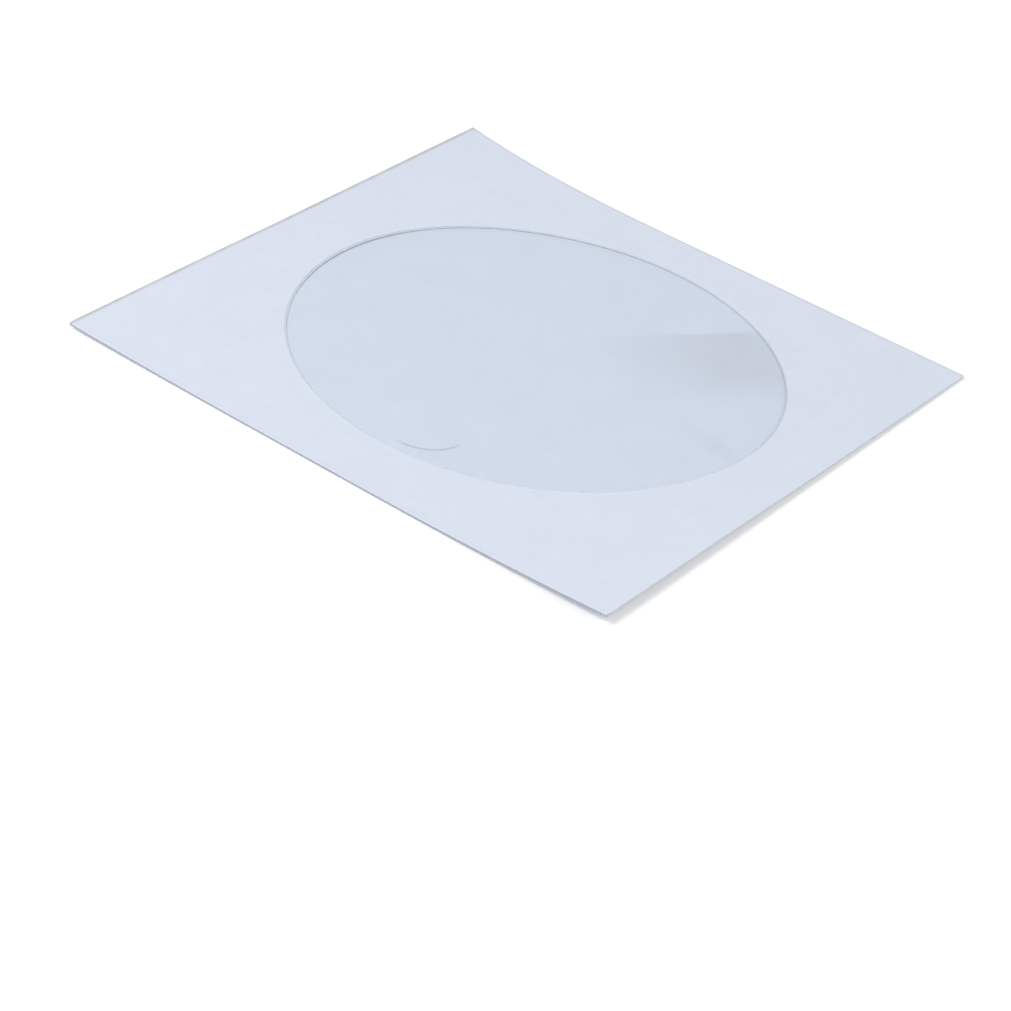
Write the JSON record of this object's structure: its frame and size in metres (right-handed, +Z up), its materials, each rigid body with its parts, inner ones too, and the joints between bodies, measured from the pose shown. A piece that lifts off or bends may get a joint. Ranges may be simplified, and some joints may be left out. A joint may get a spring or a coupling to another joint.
{
  "type": "cd sleeve",
  "caption": "Flat square paper sleeve for a disc, with a round clear film window, glued side tabs and a closing flap folded under.",
  "frame": {"origin": "middle of the sleeve's square outline, at the level of the surface that it lies on", "axes": "+Z up, out of the window side; +X to the right along the mouth; +Y from the mouth, which the flap closes, to the bottom fold"},
  "size_m": [0.125, 0.125, 0.0037],
  "materials": {
    "paper": "smooth uncoated white paper, slightly cool",
    "film": "clear glossy film"
  },
  "bodies": {
    "root": {"paper_sleeve": "paper", "window_film": "film"}
  },
  "joints": []
}
